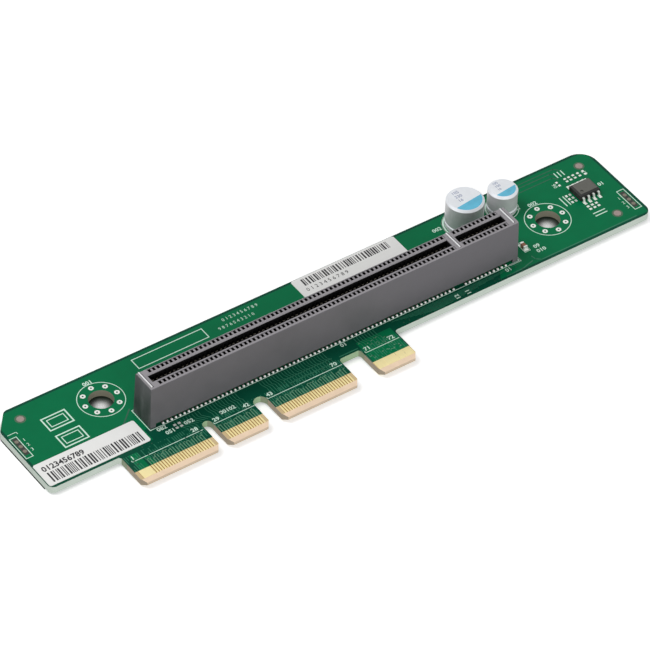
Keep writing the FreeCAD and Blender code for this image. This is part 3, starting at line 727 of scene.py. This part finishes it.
def land_spots() -> list[Point]:
    """Middles of the eight lands round each mounting hole."""
    angles = [math.tau / 8 * index for index in range(8)]
    return [(x + LAND_RING * math.cos(angle), y + LAND_RING * math.sin(angle))
            for x, y in BORES for angle in angles]


def print_rings(sheet: Sheet, line: float) -> None:
    """Print the rings round the mounting holes and the capacitors.

    Args:
        sheet: what they are printed on.
        line: width of the line.
    """
    for x, y in BORES:
        sheet.arc(x, y, 4.8, line, 64)
    for x, y, radius, steps in CAN_RINGS:
        sheet.arc(x, y, radius, line, steps)


# --- Sub-assemblies ---

@dataclass
class Board:
    """The circuit board with its traces, vias and stubs on both faces."""

    trace_line: float = 0.16
    trace_pitch: float = 0.66
    bundles: Rows = ((15.6, 12), (28.6, 24), (51.4, 8))
    cross_lines: Rows = ((-15.1, 33.0, 44.5), (-16.4, 33.5, 44.0), (-15.6, 46.0, 50.5))
    gap_start: float = 12.2
    fingers_back: float = -20.4
    stub_runs: Points = ((-1.6, 12.0), (15.0, 24.2), (27.8, 45.2))
    under_stub_runs: Points = ((-4.6, 12.0), (15.4, 23.8), (28.2, 44.9))
    via_runs: Points = ((-4.6, 11.6), (15.6, 23.4), (28.4, 44.6), (51.4, 59.0))
    via_radius: float = 0.22
    via_sides: int = 10
    peg_holes: Points = ((9.5, SLOT_LINE), (78.0, SLOT_LINE))
    peg_room: float = 1.5

    def build(self) -> None:
        """Dress the board and lay what its two faces carry."""
        dress_node("circuit_board", LAMINATE)
        self.lay_traces()
        self.part_pours()
        self.lay_stubs()
        self.lay_vias()
        self.lay_underside()
        self.print_underside()

    def lay_traces(self) -> None:
        """Traces that show as faint ridges under the mask."""
        sheet = Sheet("masked_traces", TRACE, "laminate", 0.012)
        for index in range(9):
            x = 8.4 + 0.7 * index
            end = -17.0 if x + 1.2 < self.gap_start else -15.9
            sheet.path([(x, -13.0), (x, -14.4), (x + 1.2, -15.8), (x + 1.2, end)], self.trace_line)
        for start, count in self.bundles:
            for index in range(count):
                x = start + self.trace_pitch * index
                sheet.path([(x, -12.8), (x, -13.9 - 0.25 * (index % 4)), (x + 0.4, -15.0),
                            (x + 0.4, -17.1)], self.trace_line)
        for index in range(10):
            y = -13.1 - 0.22 * index
            sheet.path([(60.5 + index, y), (92.0 - 2.2 * index, y)], 0.1)
        for y, left, right in self.cross_lines:
            sheet.path([(left, y), (right, y)], 0.22)
        sheet.path([(95.6, -12.6), (95.8, -13.8), (96.8, -14.6), (121.0, -14.6)], 0.2)
        sheet.path([(87.8, -14.8), (92.0, -14.7), (95.0, -13.9)], 0.2)
        sheet.finish_piece()

    def part_pours(self) -> None:
        """Dark gaps between the copper pours."""
        gaps = Sheet("pour_gaps", GAP, "laminate", 0.012)
        for y, left, right in ((5.2, 101.0, 113.6), (4.0, 100.0, 113.2), (6.1, 103.0, 115.0)):
            gaps.path([(left, y), (right, y), (right + 0.9, y - 0.9)], 0.22)
        gaps.path([(3.2, -5.2), (-1.0, -9.0)], 0.3)
        gaps.finish_piece()

    def lay_stubs(self) -> None:
        """Short traces behind the fingers, and loose ones on the last tongue."""
        stubs = Sheet("finger_stubs", STUB, "laminate", 0.012)
        chance = random.Random(9)
        for left, right in self.stub_runs:
            for index in range(int((right - left) / FINGER_PITCH)):
                x = left + FINGER_PITCH * index
                top = chance.uniform(-18.9, -18.2)
                stubs.bar(x - 0.09, x + 0.09, self.fingers_back, top)
                if chance.random() < 0.55:
                    stubs.bar(x - 0.09, x + 0.51, top - 0.16, top)
        for _ in range(34):
            place = stubs.at(chance.uniform(51.2, 59.0), chance.uniform(-19.8, -14.6))
            stubs.block(place, 0.4, 0.16)
        stubs.finish_piece()

    def lay_vias(self) -> None:
        """Small plated holes under the mask, scattered where traces change sides."""
        chance = random.Random(4)
        radius = self.via_radius * 0.7
        sheet = Sheet("via_dots", VIA, "laminate", 0.014)
        for _ in range(46):
            sheet.disc(chance.uniform(62.0, 92.0), chance.uniform(-15.0, -13.2), radius,
                       self.via_sides)
        for start, end in self.via_runs:
            for _ in range(int(end - start)):
                sheet.disc(chance.uniform(start, end), chance.uniform(-19.6, -15.4), radius,
                           self.via_sides)
        sheet.finish_piece()

    def lay_underside(self) -> None:
        """Lands round the mounting holes, finger stubs and vias on the hidden face."""
        lands = Sheet("underside_lands", TIN, "tinned_copper", 0.03, Side.UNDER)
        for x, y in land_spots():
            lands.disc(x, y, 0.55, 16)
        for x in (-16.2, 120.2):
            lands.disc(x, 4.0, 0.75, 24)
        lands.finish_piece()
        stubs = Sheet("underside_stubs", STUB, "laminate", 0.012, Side.UNDER)
        for left, right in self.under_stub_runs:
            for index in range(int((right - left) / FINGER_PITCH)):
                x = left + FINGER_PITCH * index
                stubs.path([(x, self.fingers_back), (x, -18.2 + 0.3 * (index % 3)),
                            (x + 0.5, -17.2), (x + 0.5, -14.0 - 0.4 * (index % 4))], 0.14)
        stubs.finish_piece()
        chance = random.Random(17)
        vias = Sheet("underside_vias", VIA, "laminate", 0.014, Side.UNDER)
        for _ in range(90):
            spot = (chance.uniform(6.0, 96.0), chance.uniform(-13.6, -4.6))
            if all(math.dist(spot, hole) > self.peg_room for hole in self.peg_holes):
                vias.disc(*spot, self.via_radius, self.via_sides)
        vias.finish_piece()

    def print_underside(self) -> None:
        """Rings and tongue lines of the hidden face's legend."""
        legend = Sheet("underside_legend", LEGEND, "label_paper", 0.014, Side.UNDER)
        print_rings(legend, 0.16)
        for left, right in TONGUES:
            legend.bar(left, right, -17.8, -17.66)
        legend.finish_piece()


@dataclass
class Slot:
    """The card slot: moulding, spring contacts and their solder joints."""

    pitch: float = 1.0
    long_side: int = 71
    short_side: int = 11
    key_step: float = 3.0
    toe_line: float = 2.98
    dome_radius: float = 0.28
    dome_rise: float = 0.05

    def stations(self) -> list[float]:
        """X of every contact of one row.

        Returns:
            The values from left to right.
        """
        long_row = [FIRST_CONTACT + self.pitch * index for index in range(self.long_side)]
        start = long_row[-1] + self.key_step
        return long_row + [start + self.pitch * index for index in range(self.short_side)]

    def build(self) -> None:
        """Dress the slot and put one small domed joint on every toe."""
        dress_node("slot_housing", HOUSING)
        for row in ("slot_contacts_front", "slot_contacts_rear"):
            dress_node(row, CONTACT)
        # The toe joints are near white, a painted highlight.
        domes = Sheet("toe_joints", GLINT_SOLDER, "tinned_copper")
        for side in (-1, 1):
            y = SLOT_LINE + self.toe_line * side
            for x in self.stations():
                place = Matrix.Translation((x, y, BOARD_TOP + self.dome_rise))
                bmesh.ops.create_uvsphere(domes.mesh, u_segments=8, v_segments=5,
                                          radius=self.dome_radius, matrix=place)
        domes.finish_piece(smooth=True)


@dataclass
class Capacitor:
    """One radial capacitor: can, bung, leads, print on its top and joints below the board."""

    size: str
    lead_step: float
    number: str
    chord: float = -0.26
    shoulder: float = 0.5
    print_thick: float = 0.012
    joint_height: float = 0.38

    def build(self) -> None:
        """Dress the capacitor, print its top and solder its leads."""
        dress_node(f"{self.size}_capacitor_can", CAN)
        dress_node(f"{self.size}_capacitor_bung", RUBBER)
        dress_node(f"{self.size}_capacitor_leads", TIN)
        low, high = mm_box(f"{self.size}_capacitor_can")
        centre = (low + high) / 2
        self.print_top(centre, (high.x - low.x) / 2, high.z)
        self.solder_leads(centre)

    def print_top(self, centre: Vector, radius: float, top: float) -> None:
        """Blue segment on the front side of the top, and plain numbers behind it.

        Args:
            centre: middle of the can.
            radius: radius of the can.
            top: height of the top.
        """
        ink = Sheet(f"{self.size}_can_segment", BLUE, "can_aluminium", self.print_thick, base=top)
        ink.disc(centre.x, centre.y, radius - self.shoulder, 48)
        cut = bmesh.ops.bisect_plane(
            ink.mesh, geom=ink.mesh.verts[:] + ink.mesh.edges[:] + ink.mesh.faces[:],
            plane_co=(centre.x, centre.y + self.chord * radius, 0), plane_no=(-0.12, 1, 0),
            clear_outer=True)
        edges = [item for item in cut["geom_cut"] if isinstance(item, bmesh.types.BMEdge)]
        bmesh.ops.holes_fill(ink.mesh, edges=edges)
        ink.finish_piece()
        text = Sheet(f"{self.size}_can_number", BLUE_TEXT, "can_aluminium", self.print_thick,
                     base=top)
        for row, numerals in enumerate(("105", self.number, "16")):
            text.words(numerals, centre.x - radius * 0.42,
                       centre.y + radius * (0.52 - 0.3 * row), radius * 0.2)
        text.finish_piece()

    def solder_leads(self, centre: Vector) -> None:
        """A coned joint round each lead on the underside.

        Args:
            centre: middle of the can.
        """
        # The joints are near white, a painted highlight.
        joints = Sheet(f"{self.size}_lead_joints", GLINT_SOLDER, "tinned_copper")
        for sign in (-1, 1):
            place = Matrix.Translation((centre.x + sign * self.lead_step / 2, centre.y,
                                        -self.joint_height / 2))
            bmesh.ops.create_cone(joints.mesh, cap_ends=True, segments=20, radius1=0.4,
                                  radius2=0.85, depth=self.joint_height, matrix=place)
        joints.finish_piece()


@dataclass
class SmallParts:
    """Memory chip, ceramic capacitor, fingers, lands, targets and jumper places."""

    tinned: tuple[str, ...] = (
        "left_ground_lands", "right_ground_lands", "resistor_pads", "memory_chip_leads",
        "ceramic_capacitor_ends")
    land_rise: float = 0.05
    targets: Points = ((-16.2, 4.0), (120.2, 4.0), (118.1, -11.9))
    strips: tuple[Box, ...] = ((-20.75, -19.65, -5.0, 0.0), (122.15, 123.25, -12.3, -7.2))
    chip_pitch: float = 1.27

    def build(self) -> None:
        """Dress the small parts and add what belongs round them."""
        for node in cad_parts:
            if node.startswith("tongue_"):
                dress_node(node, GOLD)
        for node in self.tinned:
            dress_node(node, TIN)
        for node, finish in (("memory_chip_body", CHIP), ("ceramic_capacitor_body", CERAMIC),
                             ("alignment_targets", TARGET), ("left_jumper_pads", STRIP_PAD),
                             ("right_jumper_pads", STRIP_PAD)):
            dress_node(node, finish)
        self.open_mask()
        self.solder_parts()

    def open_mask(self) -> None:
        """Plated holes in the lands, windows round the targets, and the jumpers' bare strips."""
        holes = Sheet("land_holes", VIA, "laminate", 0.01, base=BOARD_TOP + self.land_rise)
        for x, y in land_spots():
            holes.disc(x, y, 0.2, 12)
        holes.finish_piece()
        halo = Sheet("target_windows", HALO, "laminate", 0.01)
        for x, y in self.targets:
            halo.disc(x, y, 1.15, 28)
        halo.finish_piece()
        strip = Sheet("jumper_strips", STRIP, "laminate", 0.01)
        for box in self.strips:
            strip.bar(*box)
        strip.finish_piece()

    def solder_parts(self) -> None:
        """Bright pads under the chip's leads and the ceramic capacitor, and bare ones nearby."""
        pads = Sheet("component_pads", TIN, "tinned_copper", 0.04)
        low, high = mm_box("memory_chip_leads")
        for index in range(4):
            x = low.x + 0.21 + self.chip_pitch * index
            pads.bar(x - 0.32, x + 0.32, low.y - 0.3, low.y + 0.75)
            pads.bar(x - 0.32, x + 0.32, high.y - 0.75, high.y + 0.3)
        low, high = mm_box("ceramic_capacitor_ends")
        pads.bar(low.x - 0.08, high.x + 0.08, low.y - 0.4, low.y + 0.3)
        pads.bar(low.x - 0.08, high.x + 0.08, high.y - 0.3, high.y + 0.4)
        for places, half, near, far in (
                ((115.3, 116.3, 117.4, 118.6), 0.28, (1.3, 1.75), (2.15, 2.6)),
                ((113.2, 119.9), 0.25, (1.1, 1.6), (2.1, 2.6))):
            for x in places:
                pads.bar(x - half, x + half, *near)
                pads.bar(x - half, x + half, *far)
        pads.finish_piece()


@dataclass
class Legend:
    """White print on the board: outlines, rings, ticks and plain numbers."""

    sheet: Sheet = field(
        default_factory=lambda: Sheet("legend_print", LEGEND, "label_paper", 0.014))
    line: float = 0.16
    numerals: float = 0.92
    bold: float = 0.035
    small: float = 0.8
    outlines: tuple[Box, ...] = (
        (3.27, 92.92, -12.5, -5.9), (-21.05, -19.5, -5.9, 0.3), (121.9, 123.6, -12.9, -6.6))
    corner_bars: tuple[Box, ...] = ((90.3, 93.1, -12.72, -12.3), (92.6, 93.1, -12.3, -11.1))
    capacitor_box: Box = (95.2, 96.5, -11.1, -8.2)
    tongue_ends: tuple[tuple[float, str, str], ...] = (
        (-17.85, "1", "28"), (-17.75, "29", "42"), (-17.65, "43", "70"), (-17.5, "71", "72"))
    numbers: tuple[tuple[str, float, float], ...] = (
        ("082", 4.4, -13.6), ("051", 5.4, -15.2), ("052", 9.9, -14.9), ("00102", 17.3, -16.3),
        ("01", 48.0, -13.6), ("01", 88.6, -13.8), ("001", -0.9, 4.9), ("002", 104.0, -0.6),
        ("002", 83.0, 3.7), ("01", 101.0, 0.0), ("09", 97.6, -11.2), ("010", 97.4, -12.6),
        ("01", 120.0, -3.2))
    turned: tuple[tuple[str, float], ...] = (("12", 76.4), ("11", 79.0))
    tick_half: float = 0.12
    uprights: Rows = ((110.8, -4.6, -1.7), (111.7, -4.6, -1.7), (114.4, 3.4, 5.0),
                      (115.25, 3.4, 5.0), (116.1, 3.4, 5.0))

    def build(self) -> None:
        """Print the legend."""
        self.print_outlines()
        self.print_ticks()
        self.print_tongues()
        self.print_numbers()
        self.print_fields()
        self.sheet.finish_piece()

    def print_outlines(self) -> None:
        """Outlines of the slot, the mounting rings, the capacitors, jumpers and small parts."""
        for box in self.outlines:
            self.sheet.frame(box, self.line)
        self.sheet.frame(self.capacitor_box, 0.12)
        for box in self.corner_bars:
            self.sheet.bar(*box)
        print_rings(self.sheet, self.line)
        for (x, y, *_), radius, line in zip(CAN_RINGS, (4.3, 3.4), (0.5, 0.4)):
            self.sheet.arc(x, y, radius, line, 24, 110, 140)

    def print_ticks(self) -> None:
        """Short strokes round the memory chip."""
        half = self.tick_half
        for x, front, back in self.uprights:
            self.sheet.bar(x - half, x + half, front, back)
        for y in (-9.35, -10.2):
            self.sheet.bar(113.8, 116.8, y - half, y + half)
        self.sheet.words("06", 112.7, 1.1, 0.9, turn=90)
        self.sheet.words("07", 120.4, 1.1, 0.9, turn=90)

    def print_tongues(self) -> None:
        """The line across each tongue, with a tick up at its left end, and the end numbers."""
        for (left, right), (y, first, last) in zip(TONGUES, self.tongue_ends):
            self.sheet.bar(left, right, y - 0.07, y + 0.07)
            self.sheet.bar(left - 0.07, left + 0.07, y, y + 0.4)
            self.number(first, left + 0.25, y + 0.5)
            self.number(last, right - 2.1, y + 0.5)

    def number(self, text: str, x: float, y: float, turn: float = 0.0) -> None:
        """One number in the legend's own size and weight."""
        self.sheet.words(text, x, y, self.numerals, turn=turn, bold=self.bold, wide=1.1)

    def print_numbers(self) -> None:
        """Plain numbers beside the parts."""
        for text, x, y in self.numbers:
            self.number(text, x, y)
        for text, x in self.turned:
            self.number(text, x, -15.0, turn=90)
        for index in range(3):
            self.sheet.words(str(index + 1), -18.9, -1.6 - 1.5 * index, self.small)
            self.sheet.words(str(index + 1), 120.8, -8.9 - 1.5 * index, self.small)
        self.sheet.path([(-20.8, 1.4), (-18.8, 1.4), (-18.8, 0.8)], 0.14)

    def print_fields(self) -> None:
        """Empty marking fields, and rows of plain numerals behind the slot."""
        self.sheet.frame((11.0, 27.6, 3.2, 6.0), 0.2)
        for y in (0.0, -5.4):
            self.sheet.frame((-13.0, -7.6, y - 2.0, y + 1.6), 0.3)
            self.sheet.frame((-12.2, -8.4, y - 1.2, y + 0.8), 0.2)
        self.sheet.words("0 1 2 3 4 5 6 7 8 9", 32.4, 5.4, self.small)
        self.sheet.words("9 8 7 6 5 4 3 2 1 0", 30.4, 3.6, self.small)


@dataclass
class Label:
    """One paper label with bars and plain numerals."""

    node: str
    seed: int
    bars: Box
    numerals: str
    numerals_at: Point
    numeral_height: float
    bold: float = 0.0
    narrow: float = 0.19
    shares: tuple[float, ...] = (1.0, 1.0, 2.0, 2.0)

    def build(self) -> None:
        """Dress the paper and print it."""
        dress_node(self.node, PAPER)
        top = mm_box(self.node)[1].z
        sheet = Sheet(f"{self.node}_print", PRINT, "label_paper", 0.012, base=top)
        chance = random.Random(self.seed)
        x, end, front, back = self.bars
        while x < end:
            width = self.narrow * chance.choice(self.shares)
            sheet.bar(x, min(x + width, end), front, back)
            x += width + self.narrow * chance.choice(self.shares)
        sheet.words(self.numerals, *self.numerals_at, self.numeral_height, bold=self.bold)
        sheet.finish_piece()


# --- Stage ---

def look(ahead: Vector) -> Matrix:
    """Turn that points a lamp or camera along a direction."""
    return ahead.to_track_quat("-Z", "Y").to_matrix().to_4x4()


@dataclass
class Studio:
    """Pale floor, soft light and the camera."""

    floor_z: float = -0.5
    floor_half: float = 3000.0
    floor_colour: Colour = (0.86, 0.86, 0.86)
    shade_colour: Colour = (0.02, 0.03, 0.02)
    shade_reach: float = 5.0
    shade_samples: int = 32
    shade_range: Span = (0.3, 0.66)
    shade_power: float = 3.0
    shade_front: float = BOARD_Y[0] + 2.4
    floor_glow: float = 0.4
    camera_at: Triple = (-386.5, -592.9, 693.9)
    azimuth: float = 36.595
    elevation: float = 43.468
    roll: float = 2.473
    lens: float = 279.78

    def build(self) -> None:
        """Set the floor, world, lamps and camera."""
        self.lay_floor()
        self.light_world()
        self.lamp("key_lamp", (-0.35, 0.25, 0.85), 0.5, 4.2)
        self.lamp("fill_lamp", (-0.2, -0.9, 0.35), 0.8, 4.2)
        self.set_camera()
        bpy.context.scene.view_settings.view_transform = "Standard"

    def lay_floor(self) -> None:
        """A wide pale floor that stays white to the camera and keeps the shadow."""
        mesh = bmesh.new()
        bmesh.ops.create_grid(mesh, x_segments=1, y_segments=1, size=self.floor_half,
                              matrix=Matrix.Translation((50, 0, self.floor_z)))
        make_object(mesh, "floor", self.floor_material())

    def seen(self, graph: Graph) -> Socket:
        """Mask that is 1 for rays from the camera, from gloss and through glass.

        Args:
            graph: the graph that needs it.

        Returns:
            The mask.
        """
        path = graph.add("ShaderNodeLightPath").outputs
        gloss = graph.math("MAXIMUM", path["Is Glossy Ray"], path["Is Transmission Ray"])
        return graph.math("MAXIMUM", path["Is Camera Ray"], gloss)

    def floor_light(self, graph: MaterialGraph) -> Socket:
        """How open the floor is: 1 in the open, near 0 deep under the board.

        Args:
            graph: the floor's graph.

        Returns:
            The share.
        """
        hidden = graph.add("ShaderNodeAmbientOcclusion", {"Distance": self.shade_reach * MM},
                           samples=self.shade_samples)
        inputs = {"Value": hidden.outputs["AO"], "From Min": self.shade_range[0],
                  "From Max": self.shade_range[1]}
        opened = graph.add("ShaderNodeMapRange", inputs, clamp=True)
        x, y, _ = graph.spot
        under = graph.times(graph.between(x, *BOARD_X),
                            graph.between(y, self.shade_front, BOARD_Y[1]))
        return graph.math("MAXIMUM", graph.math("POWER", opened.outputs[0], self.shade_power),
                          graph.math("SUBTRACT", 1.0, under))

    def floor_material(self) -> bpy.types.Material:
        """White matt floor, clear from below and to diffuse light to show the underside.

        Returns:
            The material.
        """
        graph = MaterialGraph("pale_floor")
        lit = self.floor_light(graph)
        graph.shade("Base Color", graph.mix(lit, self.shade_colour, self.floor_colour))
        graph.shade("Roughness", 1.0)
        graph.shade("Emission Color", WHITE)
        glow = graph.times(lit, self.floor_glow)
        graph.shade("Emission Strength", graph.times(self.seen(graph), glow))
        below = graph.add("ShaderNodeNewGeometry").outputs["Backfacing"]
        diffuse = graph.add("ShaderNodeLightPath").outputs["Is Diffuse Ray"]
        clear = graph.add("ShaderNodeBsdfTransparent")
        blend = graph.add("ShaderNodeMixShader", {0: graph.math("MAXIMUM", below, diffuse),
                                                  1: graph.shader.outputs[0],
                                                  2: clear.outputs[0]})
        graph.feed(graph.tree.nodes["Material Output"].inputs["Surface"], blend.outputs[0])
        return graph.material

    def light_world(self) -> None:
        """White surroundings: full white where seen, softer as light."""
        world = bpy.data.worlds.new("studio")
        world.use_nodes = True
        bpy.context.scene.world = world
        graph = Graph(world.node_tree)
        background = world.node_tree.nodes["Background"].inputs
        graph.feed(background["Color"], WHITE)
        graph.feed(background["Strength"], graph.math("MULTIPLY_ADD", self.seen(graph), 0.6, 0.4))

    def lamp(self, name: str, place: Triple, size: float,
             power: float) -> None:
        """A large soft lamp that points at the part.

        Args:
            name: name of the lamp.
            place: where it stands, in metres.
            size: side of its square face in metres.
            power: its power in watts.
        """
        data = bpy.data.lights.new(name, "AREA")
        data.size = size
        data.energy = power
        lamp = bpy.data.objects.new(name, data)
        aim = Vector((0.05, 0.0, 0.0)) - Vector(place)
        lamp.matrix_world = Matrix.Translation(place) @ look(aim)
        bpy.context.scene.collection.objects.link(lamp)

    def set_camera(self) -> None:
        """A long lens that looks down at the front left of the card."""
        azimuth = math.radians(self.azimuth)
        elevation = math.radians(self.elevation)
        flat = math.cos(elevation)
        ahead = Vector((flat * math.sin(azimuth), flat * math.cos(azimuth),
                        -math.sin(elevation)))
        data = bpy.data.cameras.new("camera")
        data.lens = self.lens
        data.clip_start = 0.05
        data.clip_end = 20.0
        camera = bpy.data.objects.new("camera", data)
        camera.matrix_world = (Matrix.Translation(Vector(self.camera_at) * MM) @ look(ahead)
                               @ Matrix.Rotation(math.radians(self.roll), 4, "Z"))
        bpy.context.scene.collection.objects.link(camera)
        bpy.context.scene.camera = camera


def main() -> None:
    """Build every sub-assembly in order."""
    logging.basicConfig(level=logging.INFO, format="%(name)s %(message)s")
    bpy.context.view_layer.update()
    parts = (
        Board(),
        Slot(),
        Capacitor("large", lead_step=3.5, number="330"),
        Capacitor("small", lead_step=2.5, number="100"),
        SmallParts(),
        Legend(),
        Label("serial_label", 11, (-20.0, 1.0, -14.2, -11.4), "0123456789", (-20.3, -10.9), 1.35,
              bold=0.05),
        Label("barcode_label", 23, (52.1, 73.1, 4.9, 6.9), "0 1 2 3 4 5 6 7 8 9", (51.6, 3.3),
              0.95),
        Studio(),
    )
    for part in parts:
        part.build()
        log.info("built %s", type(part).__name__)


if __name__ == "__main__":
    main()
